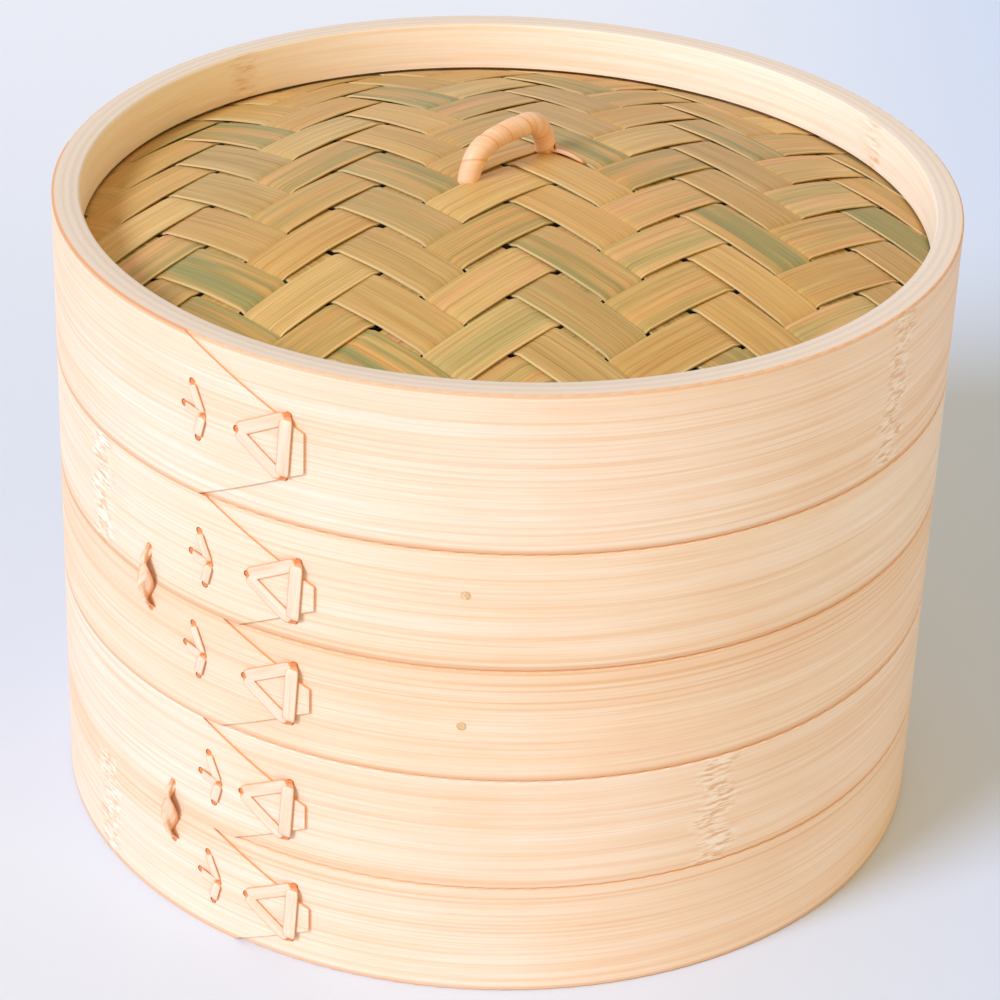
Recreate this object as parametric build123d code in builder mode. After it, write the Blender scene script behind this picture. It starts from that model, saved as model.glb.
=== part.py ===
from build123d import *
import os
from math import cos, pi, radians, sin, sqrt

# A two-tier bamboo steamer with a domed woven lid, in millimetres. +Z is up, the origin is the centre
# of the base, and the hoops' sewn laps stand a little left of the front, which faces -Y.
# Angles on the wall are degrees from the front, positive towards +X.

# Walls: bent outer hoops round bent inner rings
outer_diameter = 254.0
hoop_wall = 2.4
ring_wall = 4.8
slip_gap = 0.4
foot_hoop_height = 34.5
upper_hoop_height = 35.0
lid_hoop_height = 46.0
hoop_edge_round = 0.5
ring_edge_round = 0.7
spigot_height = 9.0
spigot_headroom = 1.5

# The lap of each outer hoop: its outer end swells over the inner end and is trimmed to a tongue
lap_rise = 0.9
lap_sweep = 75.0
lap_root = 0.8
cutting_margin = 2.0
tongue_slope = 0.5
tongue_bevel = 3.5
tongue_bevel_drop = 1.6
tier_tip_width = 7.2
lid_tip_width = 11.5

# Cane lashings, stitches and seam ties, sewn through holes in the hoops
cane_thickness = 0.7
cane_seat = 0.1
sewing_hole_radius = 1.1
sewing_clearance = 0.2
lashing_width = 3.6
lashing_corners = [(-19.8, 1.6), (-4.7, 9.5), (-5.9, -8.5)]
stitch_width = 2.6
stitch_top = (-0.3, 8.0)
stitch_left = (-3.2, 0.8)
stitch_right = (3.4, -0.5)
stitch_bottom = (1.4, -7.6)
tie_width = 6.8
tie_span = 19.0
tie_thickness = 1.6

# Bamboo pegs through the wall
peg_diameter = 2.4
peg_clearance = 0.05
peg_proud = 0.15
peg_bite = 2.5
crossbar_peg_bite = 10.0

# The slatted floor of a tier
floor_height = 20.0
slat_width = 9.5
slat_gap = 4.5
slat_thickness = 2.6
slat_bearing = 3.8
crossbar_width = 10.0
crossbar_depth = 6.0
crossbar_spacing = 58.0
floor_seat = 0.1

# The woven dome of the lid
dome_drop = 15.5
dome_rise = 19.1
strip_pitch = 16.8
strip_width = 15.0
strip_thickness = 0.8
strip_clearance = 0.35
strip_grip = 4.0
narrowest_sliver = 2.1
weave_turn = 47.0
warp_shift = -5.04
weft_shift = -5.85

# The carrying loop on the dome
handle_core_diameter = 5.2
handle_span = 30.8
handle_shift = 3.1
handle_near_shoulder = 3.5
handle_haunch_along = 8.9
handle_haunch = 9.5
handle_peak_along = 21.2
handle_peak = 11.1
handle_far_shoulder = 6.1
handle_bends = [7.0, 14.0, 12.0, 7.0]
handle_leg_below = 5.0
leg_clearance = 0.4
binding_diameter = 0.8
binding_turns = 7
binding_seat = 0.1
splint_diameter = 2.4
splint_length = 42.0
splint_clearance = 0.1

# Sizes that follow
outer_radius = outer_diameter / 2
hoop_bore = outer_radius - hoop_wall
ring_outer = hoop_bore - slip_gap
ring_bore = ring_outer - ring_wall
tier_height = foot_hoop_height + upper_hoop_height
lid_base = 2 * tier_height
rim_height = lid_base + lid_hoop_height
cane_inner = outer_radius + lap_rise + cane_seat
cane_outer = cane_inner + cane_thickness
stem_radius = sewing_hole_radius - sewing_clearance
dome_top = rim_height - dome_drop + dome_rise
dome_curve = dome_rise / ring_bore**2
layer_offset = (strip_thickness + strip_clearance) / 2
weave_half = layer_offset + strip_thickness / 2
weft_axis = Vector(cos(radians(weave_turn)), sin(radians(weave_turn)), 0)
warp_axis = Vector(-weft_axis.Y, weft_axis.X, 0)

# Where each hoop's lap and stitch sit: angles on the wall, levels above the hoop's lower edge
lower_foot_sewing = {"tip_angle": -21.7, "tip_level": 15.5, "stitch_angle": -36.5, "stitch_level": 17.5}
lower_upper_sewing = {"tip_angle": -22.3, "tip_level": 14.9, "stitch_angle": -36.2, "stitch_level": 16.4}
upper_foot_sewing = {"tip_angle": -21.8, "tip_level": 17.6, "stitch_angle": -38.5, "stitch_level": 20.7}
upper_upper_sewing = {"tip_angle": -21.3, "tip_level": 15.0, "stitch_angle": -37.3, "stitch_level": 15.8}
lid_sewing = {"tip_angle": -22.7, "tip_level": 22.1, "stitch_angle": -38.1, "stitch_level": 24.4}

# Where each tier's floor points, where its seam ties sit, and the levels of its pegs
lower_tier_layout = {"floor_angle": -93.0, "tie_angle": -42.7, "tie_level": 33.0}
upper_tier_layout = {"floor_angle": -3.2, "tie_angle": -46.4, "tie_level": 35.6}
hoop_peg_level = 57.0
crossbar_peg_level = floor_height - crossbar_depth / 2


def wall_plane(angle, height, radius):
    """A plane tangent to the wall: x runs round the wall, y up, z outwards."""
    across = radians(angle)
    return Plane(
        origin=(radius * sin(across), -radius * cos(across), height),
        x_dir=(cos(across), sin(across), 0),
        z_dir=(sin(across), -cos(across), 0),
    )


def wall_point(angle, radius):
    return (radius * sin(radians(angle)), -radius * cos(radians(angle)))


def around(angle, arc_length):
    """The wall angle that lies arc_length to the right of another."""
    return angle + arc_length / (outer_radius * pi / 180)


def finish(builder, name):
    builder.part.label = name
    export_step(builder.part, f"parts/{name}.step")


def bent_ring(name, base, top, cuts, top_rounded):
    """A plain inner ring with rounded edges, less the notches and holes that are cut in it."""
    with BuildPart() as ring:
        with BuildSketch(Plane.XY.offset(base)):
            Circle(ring_outer)
            Circle(ring_bore, mode=Mode.SUBTRACT)
        extrude(amount=top - base)
        fillet(ring.edges().filter_by(GeomType.CIRCLE).group_by(Axis.Z)[0], ring_edge_round)
        if top_rounded:
            fillet(ring.edges().filter_by(GeomType.CIRCLE).group_by(Axis.Z)[-1], ring_edge_round)
        add(cuts, mode=Mode.SUBTRACT)
    finish(ring, name)


def lap(base, height, sewing, tip_width):
    """The swollen outer end of a hoop, trimmed to a tapered tongue with a blunt tip."""
    tip_angle = sewing["tip_angle"]
    start_angle = tip_angle - lap_sweep
    middle_angle = tip_angle - lap_sweep / 2
    root_radius = outer_radius - lap_root
    tip_half = tip_width / 2
    shoulder = tip_half + tongue_bevel_drop
    above = height - sewing["tip_level"]
    below = sewing["tip_level"]
    trimming_plane = wall_plane(tip_angle, base + below, root_radius)
    with BuildPart() as tongue:
        with BuildSketch(Plane.XY.offset(base)):
            with BuildLine():
                swell = ThreePointArc(
                    wall_point(start_angle, outer_radius),
                    wall_point(middle_angle, outer_radius + lap_rise / 2),
                    wall_point(tip_angle, outer_radius + lap_rise),
                )
                root = ThreePointArc(
                    wall_point(start_angle, root_radius),
                    wall_point(middle_angle, root_radius),
                    wall_point(tip_angle, root_radius),
                )
                Line(swell @ 0, root @ 0)
                Line(swell @ 1, root @ 1)
            make_face()
        extrude(amount=height)
        with BuildSketch(trimming_plane):
            for side, reach in ((1, above + cutting_margin), (-1, below + cutting_margin)):
                taper = tongue_bevel + (reach - shoulder) / tongue_slope
                with BuildLine():
                    Polyline(
                        (cutting_margin, side * tip_half),
                        (0, side * tip_half),
                        (-tongue_bevel, side * shoulder),
                        (-taper, side * reach),
                        (cutting_margin, side * reach),
                        close=True,
                    )
                make_face()
        extrude(amount=outer_radius, both=True, mode=Mode.SUBTRACT)
    return tongue.part


def sewing_points(base, sewing):
    """The wall angle and height of each hole of a hoop's triangle lashing and of its stitch."""
    tip_height = base + sewing["tip_level"]
    stitch_height = base + sewing["stitch_level"]
    lashing = [(around(sewing["tip_angle"], x), tip_height + y) for x, y in lashing_corners]
    stitch = [
        (around(sewing["stitch_angle"], x), stitch_height + y)
        for x, y in (stitch_top, stitch_left, stitch_right, stitch_bottom)
    ]
    return lashing, stitch


def drill(points, radius, depth, outside):
    """Cut round holes through the wall from outside, square to it."""
    for angle, height in points:
        with BuildSketch(wall_plane(angle, height, outside)) as hole:
            Circle(radius)
        extrude(hole.sketch, amount=-depth, clean=False, mode=Mode.SUBTRACT)


def outer_hoop(name, base, height, sewing, tip_width, tie_points=(), peg_points=()):
    """A bent hoop with its lap, drilled for its sewing, its seam ties and its pegs."""
    tongue = lap(base, height, sewing, tip_width)
    lashing, stitch = sewing_points(base, sewing)
    drill_depth = cane_outer - hoop_bore + slip_gap
    with BuildPart() as hoop:
        with BuildSketch(Plane.XY.offset(base)):
            Circle(outer_radius)
            Circle(hoop_bore, mode=Mode.SUBTRACT)
        extrude(amount=height)
        fillet(hoop.edges().filter_by(GeomType.CIRCLE), hoop_edge_round)
        add(tongue)
        drill(lashing + stitch + list(tie_points), sewing_hole_radius, drill_depth, cane_outer)
        drill(peg_points, peg_diameter / 2 + peg_clearance, drill_depth, cane_outer)
    finish(hoop, name)


def cane_layer(thickness):
    """The thin shell just outside the laps that flat cane is cut from."""
    with BuildPart() as layer:
        with BuildSketch():
            Circle(cane_inner + thickness)
            Circle(cane_inner, mode=Mode.SUBTRACT)
        extrude(amount=rim_height)
    return layer.part


def stems(points):
    """The cane's ends, which go through the hoop's holes."""
    for angle, height in points:
        with BuildSketch(wall_plane(angle, height, hoop_bore + sewing_clearance)) as stem:
            Circle(stem_radius)
        extrude(stem.sketch, amount=cane_inner + cane_thickness / 2 - hoop_bore - sewing_clearance)


def lashing_piece(name, base, sewing):
    """A triangle of flat cane that ties down a tongue."""
    points, _ = sewing_points(base, sewing)
    tip_height = base + sewing["tip_level"]
    with BuildPart() as lashing:
        with BuildSketch(wall_plane(sewing["tip_angle"], tip_height, hoop_bore)):
            with BuildLine() as run:
                Polyline(*lashing_corners, close=True)
            trace(run.line, lashing_width)
        extrude(amount=2 * (cane_outer - hoop_bore))
        add(cane_layer(cane_thickness), mode=Mode.INTERSECT)
        stems(points)
    finish(lashing, name)


def stitch_piece(name, base, sewing):
    """A small forked stitch of flat cane at the root of a tongue."""
    _, points = sewing_points(base, sewing)
    stitch_height = base + sewing["stitch_level"]
    with BuildPart() as stitch:
        with BuildSketch(wall_plane(sewing["stitch_angle"], stitch_height, hoop_bore)):
            with BuildLine() as run:
                Polyline(stitch_top, stitch_right, stitch_bottom)
            trace(run.line, stitch_width)
            with BuildLine() as fork:
                Line(stitch_left, stitch_right)
            trace(fork.line, stitch_width)
        extrude(amount=2 * (cane_outer - hoop_bore))
        add(cane_layer(cane_thickness), mode=Mode.INTERSECT)
        stems(points)
    finish(stitch, name)


def tie_points_of(base, layout):
    """The holes of a tier's two seam ties, lower and upper, at the front and opposite."""
    middle = base + layout["tie_level"]
    angles = (layout["tie_angle"], layout["tie_angle"] + 180)
    lower = [(angle, middle - tie_span / 2) for angle in angles]
    upper = [(angle, middle + tie_span / 2) for angle in angles]
    return lower, upper


def seam_ties(name, base, layout):
    """Two thick twisted cane ties that sew the foot hoop to the upper hoop."""
    lower, upper = tie_points_of(base, layout)
    with BuildPart() as ties:
        for angle, _ in lower:
            with BuildSketch(wall_plane(angle, base + layout["tie_level"], hoop_bore)):
                SlotCenterToCenter(tie_span - tie_width / 2, tie_width, rotation=90)
            extrude(amount=2 * (cane_outer - hoop_bore))
        add(cane_layer(tie_thickness), mode=Mode.INTERSECT)
        stems(lower + upper)
    finish(ties, name)


def peg_points_of(base, layout):
    """The places of a tier's pegs: through the upper hoop, and into the ends of the main crossbar."""
    angles = (layout["floor_angle"], layout["floor_angle"] + 180)
    hoop_pegs = [(angle, base + hoop_peg_level) for angle in angles]
    crossbar_pegs = [(angle, base + crossbar_peg_level) for angle in angles]
    return hoop_pegs, crossbar_pegs


def wall_pegs(name, base, layout):
    """Round bamboo pegs, flush with the hoops outside."""
    hoop_pegs, crossbar_pegs = peg_points_of(base, layout)
    with BuildPart() as pegs:
        for angle, height in hoop_pegs:
            with BuildSketch(wall_plane(angle, height, ring_outer - peg_bite)):
                Circle(peg_diameter / 2)
            extrude(amount=outer_radius + peg_proud - ring_outer + peg_bite)
        for angle, height in crossbar_pegs:
            with BuildSketch(wall_plane(angle, height, ring_outer - crossbar_peg_bite)):
                Circle(peg_diameter / 2)
            extrude(amount=outer_radius + peg_proud - ring_outer + crossbar_peg_bite)
    finish(pegs, name)


def floor_plane(base, level, layout):
    """The floor's own plane: x along the slats, y along the crossbars."""
    along = radians(layout["floor_angle"])
    return Plane(origin=(0, 0, base + level), x_dir=(-cos(along), -sin(along), 0), z_dir=(0, 0, 1))


def crossbars(name, base, layout):
    """Three stout bars under the slats, let into notches in the ledge ring. The middle one is pegged."""
    _, crossbar_pegs = peg_points_of(base, layout)
    with BuildPart() as bars:
        with BuildSketch(floor_plane(base, floor_height - crossbar_depth, layout)):
            with GridLocations(crossbar_spacing, 0, 3, 1):
                Rectangle(crossbar_width, 2 * ring_outer)
            Circle(ring_outer - slip_gap, mode=Mode.INTERSECT)
        extrude(amount=crossbar_depth - floor_seat)
        drill(crossbar_pegs, peg_diameter / 2 + peg_clearance, crossbar_peg_bite + slip_gap, ring_outer)
    finish(bars, name)


def slats(name, base, layout):
    """Parallel split-bamboo slats whose ends lie between the ledge ring and the liner."""
    slat_pitch = slat_width + slat_gap
    reach = ring_bore + slat_bearing
    count = int(2 * (ring_bore - slat_width / 2) / slat_pitch) + 1
    with BuildPart() as floor:
        with BuildSketch(floor_plane(base, floor_height, layout)):
            with GridLocations(0, slat_pitch, 1, count):
                Rectangle(2 * reach, slat_width)
            Circle(reach, mode=Mode.INTERSECT)
        extrude(amount=slat_thickness)
    finish(floor, name)


def ledge_notches(base, layout):
    """The notches that seat the crossbars, as one cutting shape."""
    notch = crossbar_width + 2 * floor_seat
    with BuildPart() as cut:
        with BuildSketch(floor_plane(base, floor_height - crossbar_depth - floor_seat, layout)):
            with GridLocations(crossbar_spacing, 0, 3, 1):
                Rectangle(notch, 2 * outer_radius)
        extrude(amount=2 * crossbar_depth)
    return cut.part


def liner_holes(base, layout):
    """The blind holes of the hoop pegs in the liner, as one cutting shape."""
    hoop_pegs, _ = peg_points_of(base, layout)
    with BuildPart() as cut:
        for angle, height in hoop_pegs:
            with BuildSketch(wall_plane(angle, height, ring_outer - peg_bite - peg_clearance)):
                Circle(peg_diameter / 2 + peg_clearance)
            extrude(amount=peg_bite + 2 * slip_gap)
    return cut.part


def tier(side, base, layout, foot_sewing, upper_sewing):
    """One steaming tier: two outer hoops, a ledge ring, a slatted floor and a liner that stands
    above the hoops as a spigot for the tier or lid on top."""
    lower_ties, upper_ties = tie_points_of(base, layout)
    hoop_pegs, crossbar_pegs = peg_points_of(base, layout)
    seam = base + foot_hoop_height
    foot = (base, foot_hoop_height, foot_sewing, tier_tip_width)
    upper = (seam, upper_hoop_height, upper_sewing, tier_tip_width)
    outer_hoop(f"{side}_foot_hoop", *foot, lower_ties, crossbar_pegs)
    outer_hoop(f"{side}_upper_hoop", *upper, upper_ties, hoop_pegs)
    ledge_base = base + spigot_height + spigot_headroom
    bent_ring(f"{side}_ledge_ring", ledge_base, base + floor_height, ledge_notches(base, layout), False)
    liner_base = base + floor_height + slat_thickness + floor_seat
    liner_top = base + tier_height + spigot_height
    bent_ring(f"{side}_liner", liner_base, liner_top, liner_holes(base, layout), True)
    crossbars(f"{side}_floor_crossbars", base, layout)
    slats(f"{side}_floor_slats", base, layout)
    lashing_piece(f"{side}_foot_lashing", base, foot_sewing)
    stitch_piece(f"{side}_foot_stitch", base, foot_sewing)
    lashing_piece(f"{side}_upper_lashing", seam, upper_sewing)
    stitch_piece(f"{side}_upper_stitch", seam, upper_sewing)
    seam_ties(f"{side}_seam_ties", base, layout)
    wall_pegs(f"{side}_pegs", base, layout)


def dome_height(distance):
    """The middle of the weave above the base, at a distance from the axis."""
    return dome_top - dome_curve * distance**2


def lid_ring(name, profile):
    """A lid ring turned from its section, with one face lying along the dome's edge."""
    with BuildPart() as ring:
        with BuildSketch(Plane.XZ):
            with BuildLine():
                Polyline(*profile, close=True)
            make_face()
        revolve(axis=Axis.Z)
    finish(ring, name)


def strip_numbers(shift):
    """The strips of one direction that show inside the lid's rings."""
    outermost = ring_bore + strip_width / 2 - narrowest_sliver
    count = int(outermost / strip_pitch) + 2
    return [number for number in range(-count, count + 1) if abs(shift + number * strip_pitch) < outermost]


def strip_run(place, crossing_shift, goes_over):
    """The outline of one strip along its length: over two crossing strips, then under two."""
    upper, lower = [], []
    crossings = strip_numbers(crossing_shift)
    for number in range(crossings[0] - 1, crossings[-1] + 2):
        level = layer_offset if goes_over(number) else -layer_offset
        for edge in (-strip_width / 2, strip_width / 2):
            along = crossing_shift + number * strip_pitch + edge
            height = dome_height(sqrt(along**2 + place**2)) + level
            upper.append((along, height + strip_thickness / 2))
            lower.append((along, height - strip_thickness / 2))
    return upper + lower[::-1]


def warp_over(warp_number, weft_number):
    """The two-over, two-under twill, which steps by one strip from row to row."""
    return (weft_number - warp_number) % 4 in (3, 0)


def weft_over(weft_number, warp_number):
    return not warp_over(warp_number, weft_number)


def woven_layer(name, along_axis, side_axis, shift, crossing_shift, over):
    """All the strips of one direction, trimmed to a circle, with holes for the loop's legs."""
    strips = []
    facing = along_axis.cross(Vector(0, 0, 1))
    turned = facing.dot(side_axis)
    for number in strip_numbers(shift):
        place = shift + number * strip_pitch
        slope = facing + Vector(0, 0, -2 * dome_curve * place * turned)
        start = side_axis * place - slope * (strip_width / 2)
        with BuildSketch(Plane(origin=start, x_dir=along_axis, z_dir=facing)) as run:
            with BuildLine():
                Polyline(*strip_run(place, crossing_shift, lambda other: over(number, other)), close=True)
            make_face()
        strips.append(extrude(run.sketch, amount=strip_width, dir=slope, mode=Mode.PRIVATE))
    with BuildPart() as layer:
        with BuildSketch():
            Circle(ring_bore + strip_grip)
            with Locations(*[(foot.X, foot.Y) for foot in loop_feet]):
                Circle(handle_core_diameter / 2 + leg_clearance, mode=Mode.SUBTRACT)
        extrude(amount=2 * rim_height)
        add(strips, clean=False, mode=Mode.INTERSECT)
    finish(layer, name)


os.makedirs("parts", exist_ok=True)

tier("lower", 0, lower_tier_layout, lower_foot_sewing, lower_upper_sewing)
tier("upper", tier_height, upper_tier_layout, upper_foot_sewing, upper_upper_sewing)

# The lid's hoop, its sewing, and the two rings that hold the dome's edge between them
outer_hoop("lid_hoop", lid_base, lid_hoop_height, lid_sewing, lid_tip_width)
lashing_piece("lid_lashing", lid_base, lid_sewing)
stitch_piece("lid_stitch", lid_base, lid_sewing)

weave_allowance = weave_half + floor_seat
clamp_base = lid_base + spigot_height + spigot_headroom
lid_ring(
    "lid_clamp_ring",
    [
        (ring_bore, clamp_base),
        (ring_outer, clamp_base),
        (ring_outer, dome_height(ring_outer) - weave_allowance),
        (ring_bore, dome_height(ring_bore) - weave_allowance),
    ],
)
lid_ring(
    "lid_rim_ring",
    [
        (ring_bore, dome_height(ring_bore) + weave_allowance),
        (ring_outer, dome_height(ring_outer) + weave_allowance),
        (ring_outer, rim_height),
        (ring_bore, rim_height),
    ],
)

# The loop stands on the gap between two strips, and its legs pass through the weave
loop_line = warp_shift + strip_pitch / 2
loop_feet = [
    warp_axis * loop_line + weft_axis * (handle_shift - handle_span / 2),
    warp_axis * loop_line + weft_axis * (handle_shift + handle_span / 2),
]
woven_layer("lid_weave_warp", weft_axis, warp_axis, warp_shift, weft_shift, warp_over)
woven_layer("lid_weave_weft", warp_axis, weft_axis, weft_shift, warp_shift, weft_over)

# The loop's cane core: a lopsided arch that peaks towards its far foot
near_foot = handle_shift - handle_span / 2
far_foot = handle_shift + handle_span / 2
leg_end = dome_top - weave_half - handle_leg_below
loop_plane = Plane(origin=warp_axis * loop_line, x_dir=weft_axis, z_dir=weft_axis.cross(Vector(0, 0, 1)))
with BuildLine(loop_plane) as loop_path:
    FilletPolyline(
        (near_foot, leg_end),
        (near_foot, dome_top + handle_near_shoulder),
        (near_foot + handle_haunch_along, dome_top + handle_haunch),
        (near_foot + handle_peak_along, dome_top + handle_peak),
        (far_foot, dome_top + handle_far_shoulder),
        (far_foot, leg_end),
        radius=handle_bends,
    )
loop_wire = loop_path.wire()
splint_level = dome_height(splint_length / 2) - weave_half - floor_seat - splint_diameter / 2
splint_plane = Plane(
    origin=warp_axis * loop_line + weft_axis * handle_shift + Vector(0, 0, splint_level), z_dir=weft_axis
)
with BuildPart() as loop_core:
    with BuildSketch(Plane(origin=loop_wire @ 0, z_dir=loop_wire % 0)):
        Circle(handle_core_diameter / 2)
    sweep(path=loop_wire)
    with BuildSketch(splint_plane):
        Circle(splint_diameter / 2 + splint_clearance)
    extrude(amount=splint_length, both=True, mode=Mode.SUBTRACT)
finish(loop_core, "lid_loop_core")

# A bamboo splint under the weave, through both legs, keeps the loop from pulling out
with BuildPart() as loop_splint:
    with BuildSketch(splint_plane):
        Circle(splint_diameter / 2)
    extrude(amount=splint_length / 2, both=True)
finish(loop_splint, "lid_loop_splint")

# The cane binding winds round the core from foot to foot
binding_radius = handle_core_diameter / 2 + binding_seat + binding_diameter / 2
path_length = loop_wire.length
binding_start = (handle_leg_below + 2 * weave_half + binding_diameter) / path_length
binding_end = 1 - binding_start


def binding_point(turns):
    """A point of the winding, after so many turns from the near foot."""
    place = binding_start + (binding_end - binding_start) * turns / binding_turns
    outwards = (loop_wire % place).cross(warp_axis).normalized()
    return (loop_wire @ place) + (
        warp_axis * cos(2 * pi * turns) + outwards * sin(2 * pi * turns)
    ) * binding_radius


def binding_direction(turns):
    step = 0.001
    return (binding_point(turns + step) - binding_point(turns - step)).normalized()


def biarc_joint(start, start_direction, end, end_direction):
    """The point where two tangent arcs meet between two directed points."""
    chord = end - start
    bend = start_direction + end_direction
    spread = 2 * (1 - start_direction.dot(end_direction))
    along = chord.dot(bend)
    reach = (sqrt(along**2 + spread * chord.dot(chord)) - along) / spread
    return (start + start_direction * reach + end - end_direction * reach) * 0.5


quarter_turns = [number / 4 for number in range(4 * binding_turns + 1)]
with BuildLine() as binding_path:
    first, last = quarter_turns[0], quarter_turns[-1]
    Line(binding_point(first) - binding_direction(first) * binding_diameter, binding_point(first))
    for here, there in zip(quarter_turns, quarter_turns[1:]):
        joint = biarc_joint(
            binding_point(here), binding_direction(here), binding_point(there), binding_direction(there)
        )
        opening = TangentArc(binding_point(here), joint, tangent=binding_direction(here))
        TangentArc(joint, binding_point(there), tangent=opening % 1)
    Line(binding_point(last), binding_point(last) + binding_direction(last) * binding_diameter)
with BuildPart() as loop_binding:
    with BuildSketch(Plane(origin=binding_path.line @ 0, z_dir=binding_path.line % 0)):
        Circle(binding_diameter / 2)
    sweep(path=binding_path.line)
finish(loop_binding, "lid_loop_binding")

samples = [binding_point(number / 24) for number in range(24 * binding_turns + 1)]
least_gap = min(
    (samples[there] - samples[here]).length - binding_diameter
    for here in range(len(samples))
    for there in range(here + 12, len(samples))
)
print("least gap between turns of the binding", round(least_gap, 2))
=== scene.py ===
import bmesh
import bpy
import math
import random
from mathutils import Matrix, Vector
from mathutils.geometry import interpolate_bezier


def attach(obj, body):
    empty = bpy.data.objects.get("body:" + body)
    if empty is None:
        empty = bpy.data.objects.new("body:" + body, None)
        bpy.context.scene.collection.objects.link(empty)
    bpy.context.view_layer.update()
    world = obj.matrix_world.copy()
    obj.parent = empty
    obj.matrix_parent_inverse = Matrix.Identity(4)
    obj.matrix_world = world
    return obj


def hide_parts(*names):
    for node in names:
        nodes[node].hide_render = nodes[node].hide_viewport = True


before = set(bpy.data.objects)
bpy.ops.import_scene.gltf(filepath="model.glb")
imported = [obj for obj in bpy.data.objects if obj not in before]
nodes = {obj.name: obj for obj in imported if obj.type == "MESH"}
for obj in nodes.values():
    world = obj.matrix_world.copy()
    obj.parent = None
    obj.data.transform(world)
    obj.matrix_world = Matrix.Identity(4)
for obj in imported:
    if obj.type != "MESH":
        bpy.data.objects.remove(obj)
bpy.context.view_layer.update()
mm = 0.001
print("frame loaded,", len(nodes), "solids")

basket = {
    "outerRadius": 127.0,  # mm, as the solids
    "lapRise": 0.9,
    "ringBore": 119.4,
}
arcPerDegree = basket["outerRadius"] * math.pi / 180  # mm round the outer wall
creaseAngle = math.radians(50)  # a sharper edge than this stays crisp


# Small helpers for meshes and for places on the wall

def smoothStep(value):
    value = min(1.0, max(0.0, value))
    return value * value * (3 - 2 * value)


def wallPoint(angle, height, radius):
    turn = math.radians(angle)  # degrees from the front, towards +X
    return Vector((radius * math.sin(turn), -radius * math.cos(turn), height)) * mm


def finishPiece(bm, name, material, body, slot, *solids):
    bmesh.ops.recalc_face_normals(bm, faces=bm.faces)
    for edge in bm.edges:
        edge.smooth = edge.calc_face_angle(0.0) < creaseAngle
    mesh = bpy.data.meshes.new(name)
    bm.to_mesh(mesh)
    bm.free()
    for face in mesh.polygons:
        face.use_smooth = True
    piece = bpy.data.objects.new(name, mesh)
    bpy.context.scene.collection.objects.link(piece)
    mesh.materials.append(material)
    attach(piece, body)
    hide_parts(*solids)


def dress(material, *names):
    for name in names:
        nodes[name].data.materials.clear()
        nodes[name].data.materials.append(material)


# Shader helpers, and the settings that many nodes share

smoothRange = {"interpolation_type": "SMOOTHSTEP"}
product = {"operation": "MULTIPLY"}
productPlus = {"operation": "MULTIPLY_ADD"}
positive = {"operation": "ABSOLUTE"}


def hexLinear(code):
    parts = [int(code[i:i + 2], 16) / 255 for i in (0, 2, 4)]
    return [p / 12.92 if p <= 0.04045 else ((p + 0.055) / 1.055) ** 2.4 for p in parts] + [1.0]


def addNode(tree, kind, settings=None, inputs=None, output=0):
    node = tree.nodes.new(kind)
    for key, value in (settings or {}).items():
        if key == "stops":  # colour ramp stops: place and sRGB hex
            while len(node.color_ramp.elements) < len(value):
                node.color_ramp.elements.new(0.5)
            for element, (place, code) in zip(node.color_ramp.elements, value):
                element.position = place
                element.color = hexLinear(code)
        else:
            setattr(node, key, value)
    for key, value in (inputs or {}).items():
        if isinstance(value, bpy.types.NodeSocket):
            tree.links.new(value, node.inputs[key])
        else:
            node.inputs[key].default_value = value
    return node.outputs[output]


def newMaterial(name):
    material = bpy.data.materials.new(name)
    material.use_nodes = True
    tree = material.node_tree
    return material, tree, tree.nodes["Principled BSDF"]


# Every fibre pattern is a noise stretched to the fibres' own size: mm along, across and through, and detail.
# The finest real fibres are about 0.2 mm apart; they are drawn at twice that or more, so that they show.
fibreRoughness = 0.6


def fibrePatterns(tree, place, sizes):
    patterns = {}
    for part, (along, across, through, detail) in sizes.items():
        scale = [1 / (size * mm) for size in (along, across, through)]
        space = addNode(tree, "ShaderNodeMapping", None, {"Vector": place, "Scale": scale})
        patterns[part] = addNode(tree, "ShaderNodeTexNoise", None, {
            "Vector": space, "Scale": 1.0, "Detail": detail, "Roughness": fibreRoughness})
    return patterns


# Where the culm had a node its fibres ripple: a ragged upright band at an angle round the wall
scarLook = {
    "reach": 8.0, "ragged": 20.0,  # mm round the wall
    "core": 0.25, "share": 0.6,  # the part of the reach that is all scar, and how much it hides
    "brown": "d99b62", "mid": "f0d2b0", "white": "fdf3e8",
}


def nodeScar(tree, axes, streak, angle):
    front = addNode(tree, "ShaderNodeMath", product, {0: axes["Y"], 1: -1.0})
    turn = addNode(tree, "ShaderNodeMath", {"operation": "ARCTAN2"}, {0: axes["X"], 1: front})
    ragged = scarLook["ragged"] / basket["outerRadius"]
    middle = math.radians(angle) + ragged / 2
    fromScar = addNode(tree, "ShaderNodeMath", {"operation": "SUBTRACT"}, {0: turn, 1: middle})
    frayed = addNode(tree, "ShaderNodeMath", productPlus, {0: streak, 1: ragged, 2: fromScar})
    away = addNode(tree, "ShaderNodeMath", positive, {0: frayed})
    reach = scarLook["reach"] / basket["outerRadius"]
    return addNode(tree, "ShaderNodeMapRange", smoothRange, {
        "Value": away, "From Min": reach, "From Max": scarLook["core"] * reach,
        "To Min": 0.0, "To Max": scarLook["share"]})


# Bent bamboo strip, planed by hand: pale cream, with long orange fibre lines a few mm apart that run round
# the hoop, rippled fibres where the culm had a node, and painted shade along the lower edge that draws
# the seam's dark line.

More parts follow.
